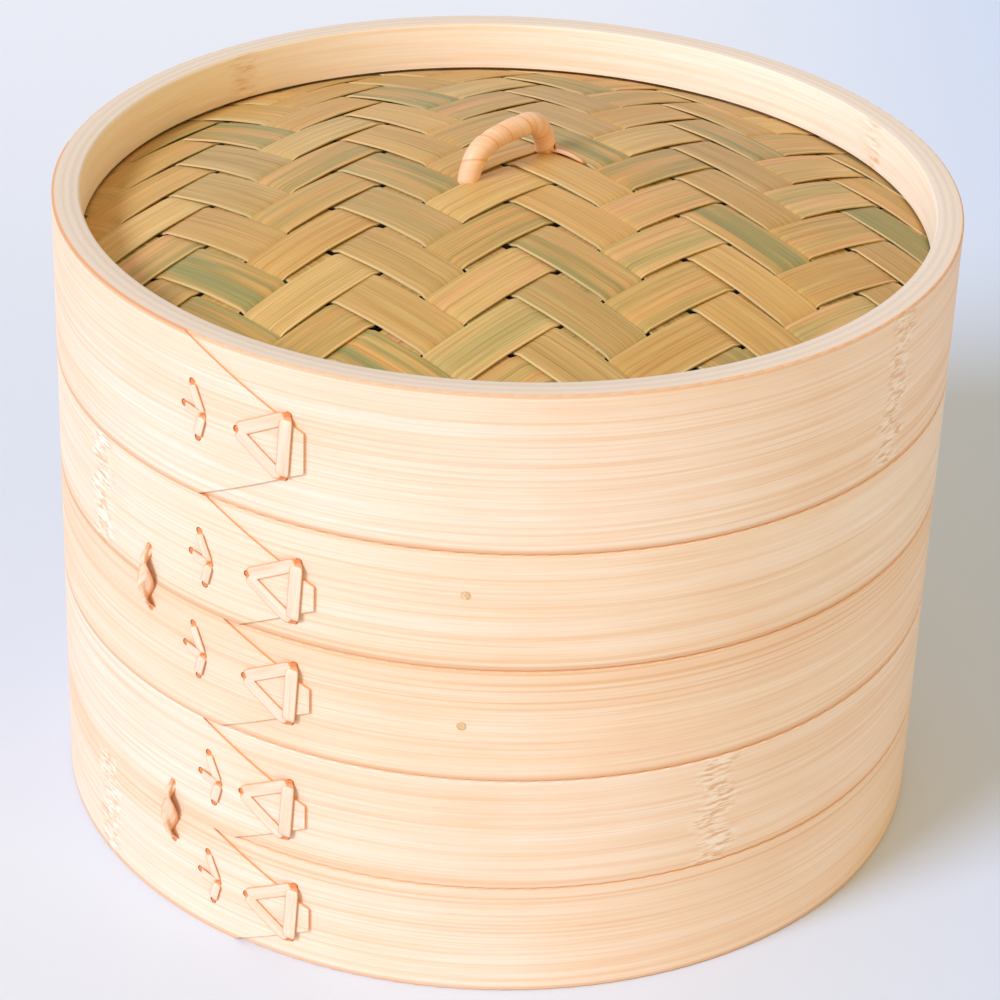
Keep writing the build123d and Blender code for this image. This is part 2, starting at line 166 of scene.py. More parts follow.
hoopLooks = {  # scar in degrees from the front, heights and the sawn radius in mm, shift of the fibres in m
    "lid_hoop": {
        "scar": 55.5, "base": 139.0, "top": 185.0, "shift": 0.0, "tone": "fae3cd", "seam": 0.7,
        "edge": "dfa163", "group": (180.5, 4.5, 0.22), "sawnTo": 126.7},
    "upper_upper_hoop": {
        "scar": -57.5, "base": 104.0, "top": 139.0, "shift": 3.1, "tone": "f9e4cd", "seam": 0.75,
        "edge": "f4d3b0", "group": (107.0, 4.0, 0.2), "sawnTo": 126.3},
    "upper_foot_hoop": {
        "scar": 148.0, "base": 69.5, "top": 104.0, "shift": 7.7, "tone": "f9dfc5", "seam": 0.68,
        "edge": "efc79e", "group": (99.0, 9.0, 0.38), "sawnTo": 126.3},
    # the lower_upper hoop's upper edge line is paler than its tone: a painted highlight on the rounded corner
    "lower_upper_hoop": {
        "scar": 29.5, "base": 34.5, "top": 69.5, "shift": 12.9, "tone": "f9e2cc", "seam": 0.3,
        "edge": "f9e6d2", "group": (38.0, 4.0, 0.15), "sawnTo": 126.3},
    "lower_foot_hoop": {
        "scar": -57.5, "base": 0.0, "top": 34.5, "shift": 18.3, "tone": "f9e2cc", "seam": 0.68,
        "edge": "f0cda6", "group": (31.0, 6.0, 0.3), "sawnTo": 126.3},
}
hoopFibres = {
    "streak": (130.0, 130.0, 3.2, 4.0),
    "fine": (43.0, 43.0, 0.5, 2.0),
    "line": (300.0, 300.0, 0.95, 1.0),
    "cloud": (70.0, 70.0, 70.0, 3.0),
    "dash": (4.8, 4.8, 0.85, 3.0),
}
hoopLook = {
    "pale": "fbebdc", "dark": "f5d7b8",  # on either side of each hoop's own tone
    "cloud": "fbe6d0", "cloudShare": 0.4,
    "fine": "f3d8b8", "fineShare": 0.36,
    "group": "f0c69c", "groupCore": 0.3,
    "line": "e3ac74", "lineShare": 0.25, "lineInGroup": 0.7,
    # painted shade along each hoop's lower edge: the dark line of the seam beneath it
    "seamShade": "d69860", "seamShadeReach": 2.3,  # mm up from the lower edge
    "edgeFrom": 1.2, "edgeTo": 0.3, "edgeShare": 0.65,  # mm below the upper edge
    "cut": "efae80", "sawn": "e6d6c8",
    "sawnFrom": 0.3, "sawnFull": 0.12,  # mm below the top
    "skinFade": 0.5,  # mm along the radius
    "smoothest": 0.5, "roughest": 0.68,
    "streakRelief": 0.5, "scarRelief": 1.6, "bump": 0.3, "bumpDepth": 0.2,
}


def bentBamboo(name, look):
    material, tree, shader = newMaterial(name)
    place = addNode(tree, "ShaderNodeTexCoord", output="Object")
    axes = addNode(tree, "ShaderNodeSeparateXYZ", None, {"Vector": place}).node.outputs
    moved = addNode(tree, "ShaderNodeMapping", None, {
        "Vector": place, "Location": (look["shift"], look["shift"], 0)})
    grain = fibrePatterns(tree, moved, hoopFibres)
    streakTone = addNode(tree, "ShaderNodeValToRGB", {"stops": [
        (0.25, hoopLook["pale"]), (0.5, look["tone"]), (0.8, hoopLook["dark"])]}, {"Fac": grain["streak"]})
    cloudTone = addNode(tree, "ShaderNodeValToRGB", {"stops": [
        (0.35, "ffffff"), (0.68, hoopLook["cloud"])]}, {"Fac": grain["cloud"]})
    fineTone = addNode(tree, "ShaderNodeValToRGB", {"stops": [
        (0.34, hoopLook["fine"]), (0.58, "ffffff")]}, {"Fac": grain["fine"]})
    # a group of closer, browner fibre lines at one height
    groupAt, groupSpread, groupShare = look["group"]
    fromGroup = addNode(tree, "ShaderNodeMath", {"operation": "SUBTRACT"}, {0: axes["Z"], 1: groupAt * mm})
    group = addNode(tree, "ShaderNodeMapRange", smoothRange, {
        "Value": addNode(tree, "ShaderNodeMath", positive, {0: fromGroup}),
        "From Min": groupSpread * mm, "From Max": hoopLook["groupCore"] * groupSpread * mm,
        "To Min": 0.0, "To Max": groupShare})
    crowd = addNode(tree, "ShaderNodeMath", productPlus, {
        0: group, 1: hoopLook["lineInGroup"], 2: hoopLook["lineShare"]})
    thin = addNode(tree, "ShaderNodeMapRange", smoothRange, {
        "Value": grain["line"], "From Min": 0.5, "From Max": 0.64})
    lines = addNode(tree, "ShaderNodeMath", product, {0: thin, 1: crowd})
    scar = nodeScar(tree, axes, grain["streak"], look["scar"])
    dashTone = addNode(tree, "ShaderNodeValToRGB", {"stops": [
        (0.39, scarLook["brown"]), (0.47, scarLook["mid"]), (0.56, scarLook["white"])]}, {
        "Fac": grain["dash"]})
    # how far each face turns from the radius: 1 on the outer face, -1 on the inner one, 0 on a cut
    flat = addNode(tree, "ShaderNodeVectorMath", product, {0: place, 1: (1, 1, 0)})
    outward = addNode(tree, "ShaderNodeVectorMath", {"operation": "NORMALIZE"}, {0: flat})
    radius = addNode(tree, "ShaderNodeVectorMath", {"operation": "LENGTH"}, {0: flat}, "Value")
    facing = addNode(tree, "ShaderNodeNewGeometry", output="True Normal")
    flush = addNode(tree, "ShaderNodeVectorMath", {"operation": "DOT_PRODUCT"}, {
        0: facing, 1: outward}, "Value")
    outside = addNode(tree, "ShaderNodeMapRange", None, {"Value": flush, "From Min": 0.5, "From Max": 0.9})
    cut = addNode(tree, "ShaderNodeMapRange", None, {
        "Value": addNode(tree, "ShaderNodeMath", positive, {0: flush}),
        "From Min": 0.8, "From Max": 0.4})
    # edges: painted shade along the lower one, for the seam's dark line, and a thin line along the upper one
    # in each hoop's edge colour; on the lower_upper hoop that line is paler than the hoop, a painted
    # highlight on its rounded corner
    lower = addNode(tree, "ShaderNodeMapRange", smoothRange, {
        "Value": axes["Z"], "From Min": (look["base"] + hoopLook["seamShadeReach"]) * mm,
        "From Max": look["base"] * mm, "To Min": 0.0, "To Max": look["seam"]})
    upper = addNode(tree, "ShaderNodeMapRange", smoothRange, {
        "Value": axes["Z"], "From Min": (look["top"] - hoopLook["edgeFrom"]) * mm,
        "From Max": (look["top"] - hoopLook["edgeTo"]) * mm, "To Min": 0.0, "To Max": hoopLook["edgeShare"]})
    upperLine = addNode(tree, "ShaderNodeMath", product, {0: upper, 1: outside})
    # the sawn top is pale, inside the strip's browner skin
    atRim = addNode(tree, "ShaderNodeMapRange", None, {
        "Value": axes["Z"], "From Min": (look["top"] - hoopLook["sawnFrom"]) * mm,
        "From Max": (look["top"] - hoopLook["sawnFull"]) * mm})
    inSkin = addNode(tree, "ShaderNodeMapRange", None, {
        "Value": radius, "From Min": look["sawnTo"] * mm,
        "From Max": (look["sawnTo"] - hoopLook["skinFade"]) * mm})
    rimCut = addNode(tree, "ShaderNodeMath", product, {0: cut, 1: atRim})
    sawn = addNode(tree, "ShaderNodeMath", product, {0: rimCut, 1: inSkin})
    layers = [
        ("MULTIPLY", hoopLook["cloudShare"], cloudTone),
        ("MULTIPLY", hoopLook["fineShare"], fineTone),
        ("MIX", group, hexLinear(hoopLook["group"])),
        ("MIX", lines, hexLinear(hoopLook["line"])),
        ("MIX", scar, dashTone),
        ("MIX", lower, hexLinear(hoopLook["seamShade"])),
        ("MIX", upperLine, hexLinear(look["edge"])),
        ("MIX", cut, hexLinear(hoopLook["cut"])),
        ("MIX", sawn, hexLinear(hoopLook["sawn"])),
    ]
    colour = streakTone
    for blend, share, over in layers:  # colours laid over each other in turn: how, how much and what
        colour = addNode(tree, "ShaderNodeMix", {"data_type": "RGBA", "blend_type": blend}, {
            "Factor": share, 6: colour, 7: over}, 2)
    tree.links.new(colour, shader.inputs["Base Color"])
    rough = addNode(tree, "ShaderNodeMapRange", None, {
        "Value": grain["fine"], "To Min": hoopLook["smoothest"], "To Max": hoopLook["roughest"]})
    tree.links.new(rough, shader.inputs["Roughness"])
    fibreRelief = addNode(tree, "ShaderNodeMath", productPlus, {
        0: grain["streak"], 1: hoopLook["streakRelief"], 2: grain["fine"]})
    ripples = addNode(tree, "ShaderNodeMath", product, {0: scar, 1: grain["dash"]})
    relief = addNode(tree, "ShaderNodeMath", productPlus, {
        0: ripples, 1: hoopLook["scarRelief"], 2: fibreRelief})
    bump = addNode(tree, "ShaderNodeBump", None, {
        "Strength": hoopLook["bump"], "Distance": hoopLook["bumpDepth"] * mm, "Height": relief})
    tree.links.new(bump, shader.inputs["Normal"])
    return material


for name, look in hoopLooks.items():
    dress(bentBamboo("bent bamboo strip, planed, " + name, look), name)
print("hoops dressed")


# Inner rings of thicker bamboo: smoother and warmer than the hoops on their faces, and greyer on the sawn
# top, where the layers of the bent strip show as faint rings.

ringLook = {
    "pale": "fdf0e1", "face": "fcebd8", "faceDark": "f8dfc3",
    "sawn": "e6d6c8", "sawnDark": "dfcdbd", "sawnPale": "e9dacd",
    "layer": 2.4,  # mm between the rings on the sawn top
    "layerStray": 0.5,
    "fine": "f3d8b6", "fineShare": 0.26,
    "rough": 0.62, "streakRelief": 0.5, "bump": 0.22, "bumpDepth": 0.25,
}
ringFibres = {
    "streak": (110.0, 110.0, 2.4, 4.0),
    "fine": (33.0, 33.0, 0.6, 2.0),
    "dash": (6.5, 6.5, 1.05, 3.0),
    "grit": (2.4, 2.4, 2.4, 3.0),
}
ringScars = {  # degrees from the front, two nodes of the culm on each ring
    "lid_clamp_ring": (-20.0, 160.0),
    "upper_liner": (-84.0, 71.0),
    "lower_liner": (12.0, -165.0),
    "upper_ledge_ring": (98.0, -48.0),
    "lower_ledge_ring": (36.0, -121.0),
}


def innerBamboo(name, scars):
    material, tree, shader = newMaterial(name)
    place = addNode(tree, "ShaderNodeTexCoord", output="Object")
    axes = addNode(tree, "ShaderNodeSeparateXYZ", None, {"Vector": place}).node.outputs
    grain = fibrePatterns(tree, place, ringFibres)
    faceTone = addNode(tree, "ShaderNodeValToRGB", {"stops": [
        (0.30, ringLook["pale"]), (0.52, ringLook["face"]), (0.74, ringLook["faceDark"])]}, {
        "Fac": grain["streak"]})
    fineTone = addNode(tree, "ShaderNodeValToRGB", {"stops": [
        (0.36, ringLook["fine"]), (0.6, "ffffff")]}, {"Fac": grain["fine"]})
    dashTone = addNode(tree, "ShaderNodeValToRGB", {"stops": [
        (0.34, scarLook["brown"]), (0.46, scarLook["mid"]), (0.66, scarLook["white"])]}, {
        "Fac": grain["dash"]})
    # on the sawn top the layers are rings about the axis
    flat = addNode(tree, "ShaderNodeVectorMath", product, {0: place, 1: (1, 1, 0)})
    radius = addNode(tree, "ShaderNodeVectorMath", {"operation": "LENGTH"}, {0: flat}, "Value")
    uneven = addNode(tree, "ShaderNodeMath", product, {
        0: grain["grit"], 1: ringLook["layerStray"]})
    layer = addNode(tree, "ShaderNodeMath", productPlus, {
        0: radius, 1: 1 / (ringLook["layer"] * mm), 2: uneven})
    wave = addNode(tree, "ShaderNodeMath", {"operation": "PINGPONG"}, {0: layer, 1: 0.5})
    sawnTone = addNode(tree, "ShaderNodeValToRGB", {"stops": [
        (0.0, ringLook["sawnDark"]), (0.3, ringLook["sawn"]), (0.5, ringLook["sawnPale"])]}, {"Fac": wave})
    facing = addNode(tree, "ShaderNodeNewGeometry", output="Normal")
    rise = addNode(tree, "ShaderNodeSeparateXYZ", None, {"Vector": facing}, "Z")
    upward = addNode(tree, "ShaderNodeMath", positive, {0: rise})
    top = addNode(tree, "ShaderNodeMapRange", None, {"Value": upward, "From Min": 0.6, "From Max": 0.9})
    marks = [nodeScar(tree, axes, grain["streak"], angle) for angle in scars]
    layers = [
        ("MULTIPLY", ringLook["fineShare"], fineTone),
        ("MIX", marks[0], dashTone),
        ("MIX", marks[1], dashTone),
        ("MIX", top, sawnTone),
    ]
    colour = faceTone
    for blend, share, over in layers:  # colours laid over each other in turn: how, how much and what
        colour = addNode(tree, "ShaderNodeMix", {"data_type": "RGBA", "blend_type": blend}, {
            "Factor": share, 6: colour, 7: over}, 2)
    tree.links.new(colour, shader.inputs["Base Color"])
    shader.inputs["Roughness"].default_value = ringLook["rough"]
    relief = addNode(tree, "ShaderNodeMath", productPlus, {
        0: grain["streak"], 1: ringLook["streakRelief"], 2: grain["fine"]})
    bump = addNode(tree, "ShaderNodeBump", None, {
        "Strength": ringLook["bump"], "Distance": ringLook["bumpDepth"] * mm, "Height": relief})
    tree.links.new(bump, shader.inputs["Normal"])
    return material


for name, scars in ringScars.items():
    dress(innerBamboo("inner bamboo ring, planed and sawn, " + name, scars), name)

# The rim ring fills the lid's hoop to its brim, with a bead of glue in the joint and a softened inner edge
rim = {
    "scars": (-137.0, 117.0),
    "steps": 192,
    "weld": 0.001,  # mm
    "profile": [  # mm: radius and height
        (119.4, 170.6), (124.5, 169.05), (124.55, 184.5), (124.72, 184.86), (125.05, 184.98),
        (120.1, 185.0), (119.62, 184.82), (119.4, 184.35)],
}
bm = bmesh.new()
corners = [bm.verts.new(wallPoint(0, height, radius)) for radius, height in rim["profile"]]
sides = [bm.edges.new((corners[i - 1], corners[i])) for i in range(len(corners))]
bmesh.ops.spin(
    bm, geom=corners + sides, cent=(0, 0, 0), axis=(0, 0, 1), angle=2 * math.pi, dvec=(0, 0, 0),
    steps=rim["steps"], use_merge=True)
bmesh.ops.remove_doubles(bm, verts=bm.verts, dist=rim["weld"] * mm)
rimMaterial = innerBamboo("inner bamboo ring, planed and sawn, lid_rim_ring", rim["scars"])
finishPiece(bm, "rimRing", rimMaterial, "lid", "bamboo_ring", "lid_rim_ring")
print("rings dressed")


# Split bamboo slats, bars and pegs: darker than the hoops and matt, with fibres along their length, which
# points another way on each tier

slatFibres = {"streak": (143.0, 2.6, 2.6, 4.0), "fine": (36.0, 0.6, 0.6, 2.0)}
slatLooks = {  # sRGB of the body and of the darker streaks
    "slats": ("e5bf8a", "c9935a"),
    "bars": ("dcb27c", "b98450"),
    "pegs": ("eccb9d", "cf9f66"),
}
slatLook = {
    "bright": "f0d6ae", "fine": "d8b184", "fineShare": 0.55,
    "rough": 0.58, "streakRelief": 0.5, "bump": 0.35, "bumpDepth": 0.3,
}


def splitBamboo(name, angle, pale, dark):
    material, tree, shader = newMaterial(name)
    place = addNode(tree, "ShaderNodeTexCoord", output="Object")
    turned = addNode(tree, "ShaderNodeMapping", None, {
        "Vector": place, "Rotation": (0, 0, math.radians(-angle))})
    grain = fibrePatterns(tree, turned, slatFibres)
    tone = addNode(tree, "ShaderNodeValToRGB", {"stops": [
        (0.28, slatLook["bright"]), (0.5, pale), (0.74, dark)]}, {"Fac": grain["streak"]})
    fineTone = addNode(tree, "ShaderNodeValToRGB", {"stops": [
        (0.36, slatLook["fine"]), (0.6, "ffffff")]}, {"Fac": grain["fine"]})
    colour = addNode(tree, "ShaderNodeMix", {"data_type": "RGBA", "blend_type": "MULTIPLY"}, {
        "Factor": slatLook["fineShare"], 6: tone, 7: fineTone}, 2)
    tree.links.new(colour, shader.inputs["Base Color"])
    shader.inputs["Roughness"].default_value = slatLook["rough"]
    relief = addNode(tree, "ShaderNodeMath", productPlus, {
        0: grain["streak"], 1: slatLook["streakRelief"], 2: grain["fine"]})
    bump = addNode(tree, "ShaderNodeBump", None, {
        "Strength": slatLook["bump"], "Distance": slatLook["bumpDepth"] * mm, "Height": relief})
    tree.links.new(bump, shader.inputs["Normal"])
    return material


floorTurns = {"lower": -93.0, "upper": -3.2}  # degrees from the front that the crossbars point at
splintTurn = 47.0  # degrees, as the weave above the splint
for side, angle in floorTurns.items():
    dress(splitBamboo("split bamboo slats, " + side, angle + 180, *slatLooks["slats"]), side + "_floor_slats")
    bars = splitBamboo("split bamboo bars, " + side, angle + 90, *slatLooks["bars"])
    dress(bars, side + "_floor_crossbars")
pegMaterial = splitBamboo("round bamboo pegs, cut flush", splintTurn, *slatLooks["pegs"])
dress(pegMaterial, "lower_pegs", "upper_pegs", "lid_loop_splint")
print("floors and pegs dressed")


# Split cane, shaved flat: a little glossier than the bamboo, with fibres along the strap's own UV and
# orange-brown cut edges and ends. On the twisted ties the same colours are painted shade, where a strand
# turns in, at its sides and at its holes.

caneFibres = {"fine": (11.0, 0.45, 1000.0, 3.0), "broad": (22.0, 2.0, 1000.0, 3.0)}
caneLook = {
    "fine": "d5a878",
    "edge": "ee9f62", "edgeShare": 0.95,
    "end": "e2864a", "endShare": 0.9, "endRun": 0.8,  # mm of a strap's end that shows as cut
    "rough": 0.5, "bump": 0.2, "bumpDepth": 0.2,
}


def shavedCane(name, bright, pale, dark, fibres):
    material, tree, shader = newMaterial(name)
    place = addNode(tree, "ShaderNodeUVMap", {"uv_map": "strapUV"})
    grain = fibrePatterns(tree, place, caneFibres)
    tone = addNode(tree, "ShaderNodeValToRGB", {"stops": [
        (0.3, bright), (0.5, pale), (0.76, dark)]}, {"Fac": grain["broad"]})
    fineTone = addNode(tree, "ShaderNodeValToRGB", {"stops": [
        (0.36, caneLook["fine"]), (0.6, "ffffff")]}, {"Fac": grain["fine"]})
    edgeAndShade = addNode(tree, "ShaderNodeAttribute", {"attribute_name": "strapEdge"}, None, "Fac")
    edge = addNode(tree, "ShaderNodeMapRange", smoothRange, {
        "Value": edgeAndShade, "From Min": 0.82, "From Max": 1.0,
        "To Min": 0.0, "To Max": caneLook["edgeShare"]})
    end = addNode(tree, "ShaderNodeMapRange", smoothRange, {
        "Value": edgeAndShade, "From Min": 1.1, "From Max": 1.5,
        "To Min": 0.0, "To Max": caneLook["endShare"]})
    layers = [
        ("MULTIPLY", fibres, fineTone),
        ("MIX", edge, hexLinear(caneLook["edge"])),
        ("MIX", end, hexLinear(caneLook["end"])),
    ]
    colour = tone
    for blend, share, over in layers:  # colours laid over each other in turn: how, how much and what
        colour = addNode(tree, "ShaderNodeMix", {"data_type": "RGBA", "blend_type": blend}, {
            "Factor": share, 6: colour, 7: over}, 2)
    tree.links.new(colour, shader.inputs["Base Color"])
    shader.inputs["Roughness"].default_value = caneLook["rough"]
    bump = addNode(tree, "ShaderNodeBump", None, {
        "Strength": caneLook["bump"], "Distance": caneLook["bumpDepth"] * mm, "Height": grain["fine"]})
    tree.links.new(bump, shader.inputs["Normal"])
    return material


caneMaterial = shavedCane("split cane, shaved", "f8e2c8", "f6d9c0", "efc9a6", 0.15)
tieMaterial = shavedCane("split cane, twisted", "f8e2c8", "f3cdae", "e2b187", 0.2)
loopMaterial = shavedCane("split cane binding, smoothed by hand", "f6d2b2", "f3c59e", "ebb48a", 0.04)


def layStrap(bm, steps, across, place, length, width, thickness, shift):
    uvLayer = bm.loops.layers.uv.get("strapUV") or bm.loops.layers.uv.new("strapUV")
    edgeLayer = bm.verts.layers.float.get("strapEdge") or bm.verts.layers.float.new("strapEdge")
    grid = bmesh.ops.create_grid(bm, x_segments=steps, y_segments=across, size=0.5)["verts"]
    for vert in grid:
        t, w = vert.co.x + 0.5, vert.co.y  # along 0..1, across -0.5..0.5
        fromEnd = min(t, 1 - t) * length
        vert[edgeLayer] = max(abs(2 * w), 2 - fromEnd / caneLook["endRun"])  # 1 on a cut edge, 2 on an end
        for corner in vert.link_loops:
            corner[uvLayer].uv = (t * length * mm + shift, w * width * mm + shift)
        vert.co = place(t, w)
    bm.normal_update()
    faces = list({face for vert in grid for face in vert.link_faces})
    bmesh.ops.solidify(bm, geom=faces, thickness=thickness * mm)


# The lashings and stitches: flat cane straps from hole to hole, diving into the hoop at each end

sewing = {
    "strapThickness": 0.35,
    "lift": 0.02,  # mm between a strap's back and the tongue under it
    "lapOver": 0.28,  # mm that a strap climbs over those under it
    "dive": 0.75,  # mm that a strap's ends sink into their holes
    "diveRun": 1.45,
    "endShare": 0.55,  # a strap's width at its holes
    "crown": 0.08,
    "lashingWidth": 3.7,
    "stitchWidth": 2.7,
    "stemRadius": 1.08,  # mm: the cane that fills each hole
    "stemDepth": 1.4,
    "stemBelow": 0.32,
    "stemTaper": 0.8,
    "stemSides": 14,
    "stitchStep": 0.15,  # mm that each run of a stitch lies over the last
    "steps": 18,
    "across": 5,
    "lashingShift": (0.07, 0.02),  # m along the fibres, from lap to lap and from strap to strap
    "stitchShift": (0.05, 0.013),
    "lashingCorners": [(-19.8, 1.6), (-4.7, 9.5), (-5.9, -8.5)],
    "stitchRuns": [((-0.3, 8.0), (3.4, -0.5)), ((3.4, -0.5), (1.4, -7.6)), ((-3.2, 0.8), (3.4, -0.5))],
}
laps = {
    "lower_foot": {"body": "lower_tier", "base": 0.0, "tip": (-21.7, 15.5), "stitch": (-36.5, 17.5)},
    "lower_upper": {"body": "lower_tier", "base": 34.5, "tip": (-22.3, 14.9), "stitch": (-36.2, 16.4)},
    "upper_foot": {"body": "upper_tier", "base": 69.5, "tip": (-21.8, 17.6), "stitch": (-38.5, 20.7)},
    "upper_upper": {"body": "upper_tier", "base": 104.0, "tip": (-21.3, 15.0), "stitch": (-37.3, 15.8)},
    "lid": {"body": "lid", "base": 139.0, "tip": (-22.7, 22.1), "stitch": (-38.1, 24.4)},
}


def sewnStrap(bm, origin, start, end, width, rise, shift):
    startAngle, startHeight = origin[0] + start[0] / arcPerDegree, origin[1] + start[1]
    endAngle, endHeight = origin[0] + end[0] / arcPerDegree, origin[1] + end[1]
    runX = (endAngle - startAngle) * arcPerDegree
    runZ = endHeight - startHeight
    length = math.hypot(runX, runZ)
    sideX, sideZ = -runZ / length, runX / length
    surface = basket["outerRadius"] + basket["lapRise"] + sewing["lift"] + sewing["strapThickness"] + rise

    def place(t, w):
        fromEnd = min(t, 1 - t) * length
        out = smoothStep(fromEnd / sewing["diveRun"])
        reach = width * (sewing["endShare"] + (1 - sewing["endShare"]) * out)
        crown = sewing["crown"] * (1 - (2 * w) ** 2)
        radius = surface + crown - (sewing["dive"] + rise) * (1 - out)
        angle = startAngle + (runX * t + sideX * w * reach) / arcPerDegree
        return wallPoint(angle, startHeight + runZ * t + sideZ * w * reach, radius)

    layStrap(
        bm, sewing["steps"], sewing["across"], place, length, width, sewing["strapThickness"], shift)


def holeStem(bm, angle, height):
    stem = bmesh.ops.create_cone(
        bm, cap_ends=True, cap_tris=False, segments=sewing["stemSides"],
        radius1=sewing["stemRadius"] * mm, radius2=sewing["stemTaper"] * sewing["stemRadius"] * mm,
        depth=sewing["stemDepth"] * mm)["verts"]
    top = basket["outerRadius"] + basket["lapRise"] - sewing["stemBelow"]
    middle = (top - sewing["stemDepth"] / 2) * mm
    bmesh.ops.rotate(bm, verts=stem, cent=(0, 0, 0), matrix=Matrix.Rotation(math.pi / 2, 3, "X"))
    bmesh.ops.translate(bm, verts=stem, vec=(0, -middle, height * mm))
    bmesh.ops.rotate(bm, verts=stem, cent=(0, 0, 0), matrix=Matrix.Rotation(math.radians(angle), 3, "Z"))
    for vert in stem:
        vert[bm.verts.layers.float["strapEdge"]] = 2.0  # coloured as a cut end


for number, (name, lap) in enumerate(laps.items()):
    tip = (lap["tip"][0], lap["base"] + lap["tip"][1])
    corners = sewing["lashingCorners"]
    bm = bmesh.new()
    for side in range(3):
        rise = sewing["lapOver"] * (side == 1)  # the upright strap lies over the other two
        shift = sewing["lashingShift"][0] * number + sewing["lashingShift"][1] * side
        sewnStrap(bm, tip, corners[side], corners[(side + 1) % 3], sewing["lashingWidth"], rise, shift)
        holeStem(bm, tip[0] + corners[side][0] / arcPerDegree, tip[1] + corners[side][1])
    finishPiece(bm, name + "LashingStraps", caneMaterial, lap["body"], "split_cane", name + "_lashing")
    middle = (lap["stitch"][0], lap["base"] + lap["stitch"][1])
    bm = bmesh.new()
    for run, (start, end) in enumerate(sewing["stitchRuns"]):
        shift = sewing["stitchShift"][0] * number + sewing["stitchShift"][1] * run
        sewnStrap(bm, middle, start, end, sewing["stitchWidth"], sewing["stitchStep"] * run, shift)
    for arc, rise in sorted({spot for run in sewing["stitchRuns"] for spot in run}):
        holeStem(bm, middle[0] + arc / arcPerDegree, middle[1] + rise)
    finishPiece(bm, name + "StitchStraps", caneMaterial, lap["body"], "split_cane", name + "_stitch")
print("lashings sewn")


# The seam ties: two flat strands twisted round each other, with their ends in the hoops' holes

ties = {
    "lower": {"body": "lower_tier", "angle": -42.7, "height": 33.0},
    "upper": {"body": "upper_tier", "angle": -46.4, "height": 105.1},
}
twist = {
    "span": 20.5, "width": 6.0, "strand": 1.7, "turns": 0.9, "flat": 0.55, "steps": 60, "sides": 12,
    "seat": 0.6,  # the part of a lap's rise that a tie stands clear of the wall
    "paleTo": 0.45, "shadeFrom": 0.8, "shadeGain": 0.35,  # painted shade: where a strand turns in, at its sides and at its holes, its colour turns to the cut-edge colours
    "fibreLean": 0.6,
    "sinkRun": 4.2, "sinkDepth": 2.6, "endDraw": 0.45,  # how the ends draw in towards their holes
}


def twistedTie(bm, angle, height):
    offset = twist["width"] / 2 - twist["strand"]
    for half in (0, 1):
        ring = bmesh.ops.create_circle(bm, segments=twist["sides"], radius=twist["strand"] * mm)["verts"]
        bmesh.ops.rotate(bm, verts=ring, cent=(0, 0, 0), matrix=Matrix.Rotation(math.pi / 2, 3, "X"))
        bmesh.ops.translate(bm, verts=ring, vec=(offset * mm, 0, -twist["span"] / 2 * mm))
        bmesh.ops.rotate(bm, verts=ring, cent=(0, 0, 0), matrix=Matrix.Rotation(math.pi * half, 3, "Z"))
        edges = list({edge for vert in ring for edge in vert.link_edges})
        before = set(bm.verts)
        bmesh.ops.spin(
            bm, geom=ring + edges, cent=(0, 0, 0), axis=(0, 0, 1), angle=twist["turns"] * 2 * math.pi,
            dvec=(0, 0, twist["span"] / twist["steps"] * mm), steps=twist["steps"], use_merge=False)
        strand = ring + [vert for vert in bm.verts if vert not in before]
        openEdges = [edge for vert in strand for edge in vert.link_edges if edge.is_boundary]
        bmesh.ops.holes_fill(bm, edges=list(set(openEdges)), sides=0)
        seat = basket["outerRadius"] + basket["lapRise"] * twist["seat"] + twist["width"] * twist["flat"] / 2
        for vert in strand:
            fromEnd = twist["span"] / 2 - abs(vert.co.z / mm)
            sink = 1 - smoothStep(fromEnd / twist["sinkRun"])
            draw = 1 - twist["endDraw"] * sink
            arc = vert.co.x / mm * draw
            depth = vert.co.y / mm * twist["flat"] * draw
            inward = max(0.0, -depth / (twist["width"] * twist["flat"] / 2))
            aside = max(0.0, abs(arc) / (twist["width"] / 2) - twist["paleTo"])
            brown = inward + aside + sink ** 3  # painted shade where a strand turns in, at its sides and at its holes
            vert[bm.verts.layers.float["strapEdge"]] = twist["shadeFrom"] + twist["shadeGain"] * brown
            vert.co = wallPoint(
                angle + arc / arcPerDegree, height + vert.co.z / mm, seat + depth - twist["sinkDepth"] * sink)


for side, tie in ties.items():
    bm = bmesh.new()
    bm.loops.layers.uv.new("strapUV")
    bm.verts.layers.float.new("strapEdge")
    for half in (0, 180):
        twistedTie(bm, tie["angle"] + half, tie["height"])
    layer = bm.loops.layers.uv["strapUV"]
    for face in bm.faces:
        for corner in face.loops:
            spot = corner.vert.co
            spread = math.atan2(spot.x, -spot.y) * basket["outerRadius"] * mm
            corner[layer].uv = (
                spot.z + twist["fibreLean"] * spread, spread - twist["fibreLean"] * spot.z)
    finishPiece(bm, side + "TwistedTies", tieMaterial, tie["body"], "split_cane", side + "_seam_ties")
print("seam ties twisted")


# The woven dome: flat strips of split bamboo skin in a two-over, two-under twill

